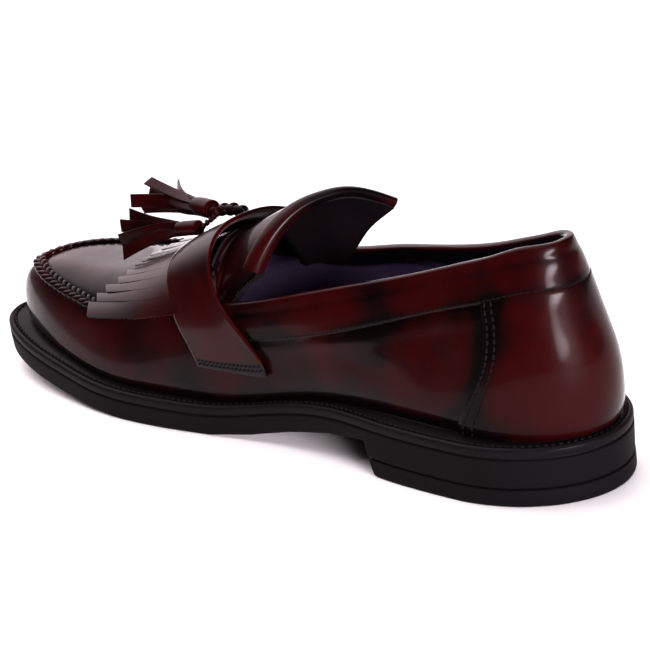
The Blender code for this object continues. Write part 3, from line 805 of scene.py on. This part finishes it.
def apron(points):
    """How far the braided seam is from each point, and whether the point lies inside it."""
    line = braid_line(80)
    flat = points.reshape(-1, 3)
    near = np.min([((flat - spot) ** 2).sum(1) for spot in line], axis=0)
    front = int(np.argmin(line[:, 0]))
    inner = np.interp(flat[:, 0], line[front::-1, 0], line[front::-1, 1])
    outer = np.interp(flat[:, 0], line[front:, 0], line[front:, 1])
    inside = (flat[:, 1] > inner) & (flat[:, 1] < outer)
    inside = inside & (flat[:, 0] > line[front, 0]) & (flat[:, 2] > APRON_LOW)
    return np.sqrt(near).reshape(points.shape[:-1]), inside.reshape(points.shape[:-1])


def creases(along, side, points):
    height = points[..., 2]
    depth = 0 * height
    for where, up, which, length, tall, deep in zip(*TROUGHS.values()):
        depth = depth - deep * bump(along, where, length) * bump(height, up, tall) * (side == which)
    depth = depth + 0.5 * bump(band_foot(along, side) - height, 4.0, 2.6) * (along < THROAT - 20)
    return depth - 0.5 * bump(apron(points)[0], 0, 2.0)


def rim_rise(along, side):
    vamp = np.clip((along - THROAT) / VAMP_REACH, 0, 1)
    rim = rise_at(np.minimum(along, THROAT), side, rim_height(along, side))
    return rim * (1 - vamp) + VAMP_RISE * vamp


run, side = both_sides(fine_run(UPPER_TIP, UPPER_BACK, UPPER_TOE, (THROAT,), (26, 88, 44)))
edge = rim_rise(run, side)
WALL_SHARES = np.concatenate([np.linspace(-1, 0, 9)[:-1], np.linspace(0, 1, 26)])
TOP_SHARES = np.linspace(0, 1, 30)[1:]
rises = [share + 0 * run if share < 0 else share * edge for share in WALL_SHARES]
rises += [edge + share * (1 - edge) for share in TOP_SHARES]
rises = np.stack(rises)
upper_base = skin(run, side, rises)
upper_out = facing(upper_base)
upper_points = upper_base + upper_out * creases(run, side, upper_base)[..., None]
print("upper sheet:", upper_points.shape)


# %% Upper leather
def cut_opening(piece, stations, wall_rows):
    """Cuts the faces over the rim, behind the throat, out of a fresh sheet."""
    edit(piece, lambda: bpy.ops.mesh.select_all(action="DESELECT"))
    behind = np.minimum(stations[:-1], stations[1:]) < THROAT - 0.01
    above = np.arange(len(piece.data.polygons) // len(behind)) >= wall_rows - 1
    piece.data.polygons.foreach_set("select", (above[:, None] & behind).reshape(-1))
    bpy.ops.object.mode_set(mode="EDIT")
    bpy.ops.mesh.select_mode(type="FACE")
    bpy.ops.mesh.delete(type="FACE")
    bpy.ops.mesh.select_mode(type="VERT")
    bpy.ops.object.mode_set(mode="OBJECT")
    edit(piece, merge, face_out)
    outward(piece)


def upper_shade(points, along, side):
    height = points[..., 2]
    foot = height - seat(along)
    shade = 0.75 * bump(foot, 0, 5) + 0.35 * bump(foot, 0, 14)
    shade = shade + 0.55 * bump(band_foot(along, side) - height, 0, 4.5) * (along < THROAT)
    shade = shade + 1.1 * bump(along - size(COUNTER, "along", foot), 0.5, 4.5)
    seam, inside = apron(points)
    shade = shade + 0.55 * bump(seam, 0, 5) + 0.3 * inside
    # Darker by the saddle's front edge, low on the sides: painted shade under the saddle and the kiltie.
    front_edge = size(SADDLE, "front", np.zeros_like(along) + 0.9)
    return shade + 0.4 * bump(along, front_edge - 2, 9) * (height < 60)


upper = pull_sheet("upper_leather", upper_points)
note(upper, upper_shade(upper_points, run + 0 * rises, side + 0 * rises))
cut_opening(upper, run, len(WALL_SHARES))
wall(upper, 1.1)
dress(upper, [oxblood], "upper")

# %% Lining of the upper
lining_points = (upper_base - upper_out * 1.25)[1::2, ::2]
lining_run = run[::2]
below_edge = rim_height(lining_run, side[::2]) - lining_points[..., 2]
# Painted light and shade in the lining's colour: lightest around the middle of the shoe, dark towards the
# heel and a little darker towards the toe. The dark band just under the rim is the black facing.
lining_shade = smooth(115, 60, lining_run) + 0.3 * smooth(120, 150, lining_run)
lining = pull_sheet("upper_lining", lining_points)
note(lining, lining_shade + smooth(8, 6, below_edge))
cut_opening(lining, lining_run, len(WALL_SHARES[1::2]))
wall(lining, 0.7)
dress(lining, [navy_lining])

# %% [markdown]
# ## Collar band
# A strip of leather is sewn round the rim and folded over it. Under the fold runs a crease where the
# padding ends. The strip is a grid whose first rows climb the side of the upper and whose last rows
# roll over the rim to the inside.

# %% Collar band
BAND_END = 158.0
FOLD_CENTRE = -0.65
FOLD_RADIUS = 1.9
FOLD_ROWS = 9
band_run, band_side = both_sides(heel_run(BAND_END, UPPER_BACK, (24, 62)))
band_up = np.linspace(0, 1, 22)[:, None]
band_height = rim_height(band_run, band_side) - size(RIM, "band", band_run) * (1 - band_up)
band_base = skin(band_run, band_side, rise_at(band_run, band_side, band_height))
band_out = facing(band_base)
swell = 1.2 + 0.35 * bump(band_up, 0.45, 0.3) - 0.06 * bump(band_up, 0.74, 0.06)
swell = swell + 0.12 * bump(band_up, 0.9, 0.09) - 0.25 * bump(band_up, 0.0, 0.04)
rows = list(band_base + band_out * swell[..., None])
rim_up = unit(np.gradient(band_base, axis=0)[-1])
for angle in np.linspace(0, math.pi * 1.12, FOLD_ROWS)[1:]:
    across = FOLD_CENTRE + FOLD_RADIUS * math.cos(angle)
    rows.append(band_base[-1] + band_out[-1] * across + rim_up * FOLD_RADIUS * 0.75 * math.sin(angle))
band_points = np.stack(rows)
band_up = np.concatenate([band_up, np.ones((FOLD_ROWS - 1, 1))])
# The band is darker along its sewn lower edge. Painted shade: a dark line in the crease under the fold, a
# dark mark in the dent where the counter seam meets the band, and darker colour where the band runs under
# the saddle.
band_shade = 0.2 + 0.55 * bump(band_up, 0.06, 0.12) + 0.3 * bump(band_up, 0.7, 0.07)
band_shade = band_shade + 0.3 * bump(band_run, 34, 4) + 0.4 * bump(band_run, 150, 16)
band = pull_sheet("collar_strip", band_points)
note(band, band_shade)
outward(band)
edit(band, merge)
wall(band, 0.9, 0.15, rim=1)
dress(band, [oxblood, cut_edge], "collar_band")

# %% [markdown]
# ## Heel counter
# A panel is sewn over the back of the heel, below the band. Its front edges lean back towards the
# top. It is one more sheet on the same last.

# %% Heel counter
COUNTER_TALL = 51.0
counter_up = np.linspace(0, 1, 30)[:, None]
counter_across = np.linspace(-1, 1, 61)


def counter_grid(shares_across):
    seam = size(COUNTER, "along", counter_up * COUNTER_TALL)
    across = np.sign(shares_across) * (1 - np.cos(np.abs(shares_across) * np.pi / 2)) * seam
    along = np.abs(across)
    side = np.where(across < 0, -1.0, 1.0)
    low = seat(along) + 1.2
    height = low + counter_up * (band_foot(along, side) + 0.6 - low)
    drop = (height - section(along)[0]) / size(LAST, "belly", along)
    rise = np.where(drop < 0, np.clip(drop, -1, 0), rise_at(along, side, height))
    return skin(along, side, rise)


counter_base = counter_grid(counter_across)
from_edge = 1 - np.abs(counter_across)
counter_stand = 1.15 + 0.25 * bump(from_edge, 0.0, 0.05) + 0.15 * bump(counter_up, 0.95, 0.08)
counter_points = counter_base + facing(counter_base) * counter_stand[..., None]
counter_shade = 1.3 * bump(from_edge, 0, 0.16) + 0.7 * bump(counter_up, 0, 0.12) - 0.05
counter_shade = counter_shade + 0.5 * bump(counter_up, 1, 0.1)
# Painted shade in the upper part of the counter, on the outer side of the heel's back.
counter_shade = counter_shade + 0.6 * bump(counter_across, 0.45, 0.25) * smooth(0.15, 0.45, counter_up)
leather("heel_counter_panel", counter_points, counter_shade, 0.9, 0.2, oxblood,
        "heel_counter")

# %% [markdown]
# ## Stitches
# A stitch is a short, thick bit of waxed thread that dips in at both ends. One is modelled from a
# small sphere, and its copies are set along a line, all in one mesh, because there are hundreds.


# %% One stitch, many copies
def between(at, keys, points):
    """Points between given ones, on straight lines."""
    return np.stack([np.interp(at, keys, points[:, axis]) for axis in range(3)], -1)


def even(path, out, pitch):
    """Even points of a line, with frames: along the line, across it and out."""
    steps = np.linalg.norm(np.diff(path, axis=0), axis=1)
    length = np.concatenate([[0], np.cumsum(steps)])
    count = max(int(length[-1] / pitch), 2)
    at = (np.arange(count) + 0.5) * length[-1] / count
    ahead = unit(between(at + 0.2, length, path) - between(at - 0.2, length, path))
    up = between(at / length[-1], np.linspace(0, 1, len(path)), np.broadcast_to(out, path.shape))
    up = unit(up - ahead * (up * ahead).sum(1, keepdims=True))
    return between(at, length, path), ahead, np.cross(up, ahead), up


def slanted(ahead, across, slant):
    """Both directions, turned in the surface."""
    turned = ahead * math.cos(slant) + across * math.sin(slant)
    return turned, across * math.cos(slant) - ahead * math.sin(slant)


def bead(segments, rings):
    bpy.ops.mesh.primitive_uv_sphere_add(segments=segments, ring_count=rings, radius=1)
    return bpy.context.object


def copies(name, model, frames):
    """One mesh with a copy of the model in each frame. The model is removed."""
    origins, *ways = [np.vstack(group) for group in zip(*frames)]
    base = np.array([v.co for v in model.data.vertices])
    faces = [list(face.vertices) for face in model.data.polygons]
    points = origins[:, None, :] + np.einsum("vi,nij->nvj", base, np.stack(ways, 1))
    starts = range(0, len(origins) * len(base), len(base))
    joined = [[corner + start for corner in face] for start in starts for face in faces]
    mesh = bpy.data.meshes.new(name)
    mesh.from_pydata((points.reshape(-1, 3) * MM).tolist(), [], joined)
    piece = bpy.data.objects.new(name, mesh)
    bpy.context.collection.objects.link(piece)
    bpy.data.objects.remove(model)
    return piece


def stitches(path, out, pitch, length, width, lift, slant=0.0):
    """Frames for a line of stitches, each a share of the pitch long."""
    here, ahead, across, up = even(path, out, pitch)
    turned, sideways = slanted(ahead, across, slant)
    return here + up * lift, turned * length * pitch / 2, sideways * width, up * width


def sew(name, lines, look):
    dress(copies(name, bead(8, 5), lines), [look])


# %% Seams of the upper
lines = [stitches(band_points[1], band_out[1], 2.2, 0.8, 0.3, 0.05)]
for where in (-0.965, 0.965, -0.905, 0.905):
    beside = counter_grid(where + np.array((-0.02, 0.0, 0.02)))
    lines.append(stitches(beside[:, 1], facing(beside)[:, 1], 2.5, 0.86, 0.5, 1.35))
sew("upper_stitches", lines, waxed_thread)

# %% Seam of the welt
channel = seat_row(outline, 2.8, -0.2)
sew("welt_stitches", [stitches(channel, UP, 2.7, 0.8, 0.6, 0.3)], welt_black)

# %% [markdown]
# ## Saddle
# The saddle is a thick strap over the instep, narrow on the ridge and wide at its sewn ends. It
# stands off the shoe at its rear edge. Two sheets make it, an outer leather and a thin pale lining
# that shows as a fine line along the edge.

# %% Saddle strap
turns = np.linspace(-1, 1, 141)[None, :]
shares = np.linspace(0, 1, 30)[:, None]
front, rear, lift_of = [size(SADDLE, column, np.abs(turns)) for column in ("front", "rear", "lift")]
saddle_base = over_instep(turns + 0 * shares, front + shares * (rear - front))
saddle_out = facing(saddle_base)
crown = np.sin(np.pi * shares) ** 0.8
standing = 1.1 + lift_of * (0.45 + 0.5 * shares) + 0.9 * crown * (1 - 0.5 * turns ** 4)
standing = standing + 0.9 * shares ** 6 * (1 - turns ** 6)
saddle_points = saddle_base + saddle_out * standing[..., None]
saddle_shade = 0.3 * bump(shares, 0, 0.1) + 0.3 * bump(shares, 0.9, 0.06) - 0.5 * bump(shares, 1.0, 0.03)
saddle_shade = saddle_shade + 1.4 * smooth(0.958, 0.97, np.abs(turns)) - 0.12
leather("saddle_leather", saddle_points, saddle_shade, 1.5, 0.3, saddle_polish,
        "saddle_strap")
backing_points = saddle_base + saddle_out * (standing - 1.55)[..., None]
leather("saddle_backing", backing_points[::2, ::2], 0.0, 0.5, 0.0, cut_edge)

# %% Seams of the saddle's ends
lines = []
for column in (1, 2, -2, -3):
    path = saddle_points[1:-1, column]
    lines.append(stitches(path, saddle_out[1:-1, column], 1.9, 0.85, 0.42, 0.15, 0.5))
sew("saddle_stitches", lines, waxed_thread)

# %% [markdown]
# ## Kiltie
# The kiltie is a flap in front of the saddle, cut into strips with slanted ends. Each strip is its
# own small sheet, so that no two lie at quite the same height.

# %% Kiltie strips
SLIT = 0.006
strip_edges = np.concatenate([[-0.84], np.linspace(-0.7, 0.7, 15), [0.84]])
chance = np.random.default_rng(7)
shares = np.linspace(0, 1, 26)[:, None]
across = np.linspace(-1, 1, 6)[None, :]
loose = smooth(0.5, 0.95, shares)
slit = SLIT * smooth(0.5, 0.62, shares)
strips = []
for low, high in zip(strip_edges, strip_edges[1:]):
    turns = ((low + high) / 2 + ((high - low) / 2 - slit) * across) * (0.88 + 0.12 * shares)
    start = size(SADDLE, "front", np.abs(turns)) - 4
    end = size(KILTIE, "tip", min(abs(high), abs(low) + 0.06)) + 1.5 * (across - 1)
    along = start + shares * (end + chance.uniform(-0.6, 0.6) - start)
    lift_of = 1.0 + size(KILTIE, "lift", np.abs(turns)) * (0.35 + 0.65 * shares)
    lift_of = lift_of + chance.uniform(-0.25, 0.35) * loose
    base = over_instep(turns, along)
    points = base + facing(base) * (lift_of + 0.5 - 0.12 * loose * across ** 2)[..., None]
    strip = pull_sheet("strip", points)
    # Darker along the edges where the strips hang loose; darker at the start, which is painted shade under
    # the saddle.
    note(strip, 0.15 + 0.3 * bump(np.abs(across), 1, 0.3) * loose + 0.4 * bump(shares, 0, 0.3))
    outward(strip)
    strips.append(strip)
kiltie = join(strips, "kiltie_strips")
wall(kiltie, 1.2)
dress(kiltie, [strip_leather], "kiltie")

# %% [markdown]
# ## Braided seam
# The seam round the toe is plaited by hand: slanted links of lace, left and right in turn. A link is
# a stretched bead, and two rows of them lean towards each other along the line.


# %% Apron braid
def plait(path, out, pitch, slant, shift, link, tilt=0.0):
    """Frames for two rows of links that lean towards each other."""
    here, ahead, across, up = even(path, out, pitch)
    frames = []
    for lean in (-1, 1):
        turned, sideways = slanted(ahead, across, math.radians(slant) * lean)
        middle = here + (ahead * shift[0] + across * shift[1]) * lean + up * shift[2]
        frames.append((middle, turned * link[0] + up * tilt, sideways * link[1], up * link[2]))
    return frames


braid_path = braid_line(160)
lean_out = np.gradient(braid_path, axis=0)
lean_out = unit(np.stack([lean_out[:, 1], -lean_out[:, 0], 0 * lean_out[:, 0]], -1))
links = plait(braid_path, UP - 0.45 * lean_out, 3.6, 34, (0.75, 0.95, 0.75), (2.9, 1.35, 1.55), 0.3)
braid = copies("braid_links", bead(10, 7), links)
note(braid, 0.6)
dress(braid, [oxblood], "apron_braid")

# %% [markdown]
# ## Tongue
# The tongue arches out of the throat, and its free end is turned over into a roll. A dark lining
# lies under it, and a narrow strip is sewn along the edge in view.

# %% Tongue
TONGUE_SKEW = 12.0
TONGUE_START = 166.0
TONGUE_END = 131.0
TONGUE_ARCH = 2.4
TONGUE_STAND = 1.6
UNDER_TONGUE = np.array((0.0, AXIS_Y, 50.0))


def tongue_point(share, turn):
    along = TONGUE_START - (TONGUE_START - TONGUE_END + TONGUE_SKEW * turn) * share
    height = size(TONGUE, "crown", along) - sided(TONGUE, along, turn) * np.abs(turn) ** TONGUE_ARCH
    across = size(TONGUE, "mid", along) + size(TONGUE, "half", along) * turn
    vamp = skin(along, *rise_across(along, across))[..., 2] + TONGUE_STAND
    return place(along, across, np.where(along > THROAT - 1, np.maximum(height, vamp), height))


shares = np.linspace(-0.3, 1, 56)[:, None]
turns = np.linspace(-1.06, 1, 71)[None, :]
tongue_base = tongue_point(shares, turns)
tongue_out = facing(tongue_base, UNDER_TONGUE)
# Darker along both side edges; the dark line near the end is painted shade in the fold where the tongue
# turns over into the roll.
tongue_shade = 0.3 + 0.4 * bump(np.abs(turns), 1, 0.2) + 0.5 * bump(shares, 0.86, 0.08)
leather("tongue_leather", tongue_base - tongue_out * 0.6, tongue_shade, 1.2, 0.0, oxblood,
        "tongue", UNDER_TONGUE)
leather("tongue_lining", tongue_base - tongue_out * 1.85, 0.0, 0.6, 0.0, dark_lining,
        inside=UNDER_TONGUE)

# %% Roll of the tongue
ROLL = table("turn radius", ((-1.06, 4.7), (-0.8, 4.3), (-0.4, 3.4), (0, 2.7), (0.5, 2.3), (1, 2.2)))
ROLL_FLAT = 0.85
roll_turns = np.linspace(-1.06, 1, 60)
roll_centre = tongue_point(np.ones(60), roll_turns)
roll_out = between(roll_turns, turns[0], tongue_out[-1])
roll_back = np.cross(roll_out, unit(np.gradient(roll_centre, axis=0)))
roll_back = roll_back * np.sign(roll_back[:, :1])
roll_size = size(ROLL, "radius", roll_turns)[:, None]
rows = []
for angle in np.radians(np.linspace(-95, 205, 40)):
    way = ROLL_FLAT * math.sin(angle) * roll_out + math.cos(angle) * roll_back
    rows.append(roll_centre + roll_size * way)
roll = pull_sheet("tongue_roll", np.stack(rows))
angle_share = np.linspace(0, 1, 40)[:, None]
roll_shade = 0.1 + 0.3 * bump(angle_share, 1, 0.15) + 0.35 * bump(angle_share, 0.3, 0.05)
note(roll, roll_shade + 0.4 * smooth(-0.9, -0.4, roll_turns))
wall(roll, 1.0, 0.2, rim=1, back=2)
edit(roll, face_out)
dress(roll, [oxblood, cut_edge, dark_lining])

# %% Sewn edge of the tongue
EDGE = (
    (138.5, -25, 67.5), (142, -25.3, 65), (146, -25.4, 62), (152, -25.6, 57), (157, -25.8, 51),
    (161, -26, 45))
EDGE_WIDE = np.array((0.75, -0.2, 0.6))
edge_path = between(np.linspace(0, 5, 26), np.arange(6), place(*np.array(EDGE).T))
edge_points = edge_path[:, None, :] + np.linspace(-1.5, 1.5, 5)[None, :, None] * EDGE_WIDE
leather("tongue_edge", edge_points, 0.0, 1.2, 0.25, dark_lining, inside=UNDER_TONGUE)
lines = [stitches(edge_path, (0.2, -0.9, 0.3), 1.7, 0.9, 0.4, 0.25, 0.9)]
sew("tongue_stitches", lines, waxed_thread)

# %% [markdown]
# ## Tassels and tie
# Each tassel is a strip of leather cut into a fringe and rolled up: the rolled part is the cap, with
# its spiral showing at the end, and the fringe fans out of it.

# %% Tassels
CAPS = {"tassel_far": ((194.5, 7, 72.3), 3.7), "tassel_near": ((192, -3.6, 69), 2.6)}
FRINGE = {
    "tassel_far": table("along across height width twist", (
        (239.5, 7, 69.5, 5.4, 84), (233.4, 12, 77.5, 4.4, 20), (231, 25, 72, 3.6, 72),
        (237, 15, 71, 3.8, 64), (236, 19, 66, 4.6, 70), (238, 11, 65, 4.6, 110))),
    "tassel_near": table("along across height width twist", (
        (233, -6, 64.6, 5, 80), (231.4, -2, 68.3, 4.6, 72), (230, -10, 60.2, 5.2, 100),
        (226, -13, 56.6, 5.2, 75), (232, 2, 64, 4.4, 60), (229, -4, 60, 4.6, 120)))}
CAP_LENGTH = 10.0


def tassel(name, start, bulk, fringe):
    tips = place(fringe["along"], fringe["across"], fringe["height"])
    ahead = unit(tips.mean(0) - start)
    wide = unit(np.cross(ahead, UP))
    up = np.cross(wide, ahead)
    angle = np.linspace(0, 5 * math.pi, 81)[None, :]
    radius = bulk * (0.12 + 0.88 * np.linspace(0, 1, 81)[None, :])
    depth = np.linspace(-0.5, CAP_LENGTH, 9)[:, None]
    round_cap = radius * (1 - 0.12 * bump(depth, CAP_LENGTH, 2.5))
    cap = start + depth[..., None] * ahead + (round_cap * np.cos(angle))[..., None] * wide
    cap = cap + (round_cap * np.sin(angle))[..., None] * up
    parts = [pull_sheet("cap", cap)]
    note(parts[0], 0.2 + 0.4 * bump(depth, CAP_LENGTH, 2) + 0 * angle)
    root = start + ahead * (CAP_LENGTH - 4)
    share = np.linspace(0, 1, 18)[:, None]
    for number, (tip, width, twist) in enumerate(zip(tips, fringe["width"], fringe["twist"])):
        around = 2 * math.pi * number / len(tips)
        leave = root + bulk * 0.5 * (math.cos(around) * wide + math.sin(around) * up)
        bow = leave + ahead * np.linalg.norm(tip - leave) * 0.45
        centre = (1 - share) ** 2 * leave + 2 * share * (1 - share) * bow + share ** 2 * tip
        turn = math.radians(twist) * (0.6 + 0.4 * share)
        across = wide * np.cos(turn) + up * np.sin(turn)
        spread = np.linspace(-0.5, 0.5, 5) * width * (0.6 + 0.4 * smooth(0, 0.4, share))
        ribbon = pull_sheet("ribbon", centre[:, None, :] + across[:, None, :] * spread[..., None])
        note(ribbon, 0.2 + 0.45 * bump(share, 0, 0.25) + 0 * spread)
        parts.append(ribbon)
    piece = join(parts, name + "_leather")
    wall(piece, 0.8, 0.2)
    dress(piece, [tassel_leather], name)


for name, (start, bulk) in CAPS.items():
    tassel(name, place(*np.array(start, float)), bulk, FRINGE[name])

# %% Tie
KNOT = ((195, 6, 71.6), (192, 10, 71.4), (188.8, 13.2, 71), (186, 15.5, 69.4))
LACE = ((190.5, -3.6, 69.2), (190.2, 1, 70.6), (191, 6, 71.4), (192, 9, 71.2))
LINK_SHIFT = np.array((0.7, 0.3))
LINK_SIZE = np.array((1.6, 0.85, 1.15))
links = []
for path, pitch, thick in ((KNOT, 2.8, 1.9), (LACE, 2.0, 0.8)):
    shift = (0.25 * pitch, *(LINK_SHIFT * thick))
    links += plait(place(*np.array(path).T), UP, pitch, 38, shift, LINK_SIZE * thick)
tie = copies("tie_knot", bead(12, 8), links)
note(tie, 0.75)
dress(tie, [tassel_leather], "tassel_tie")
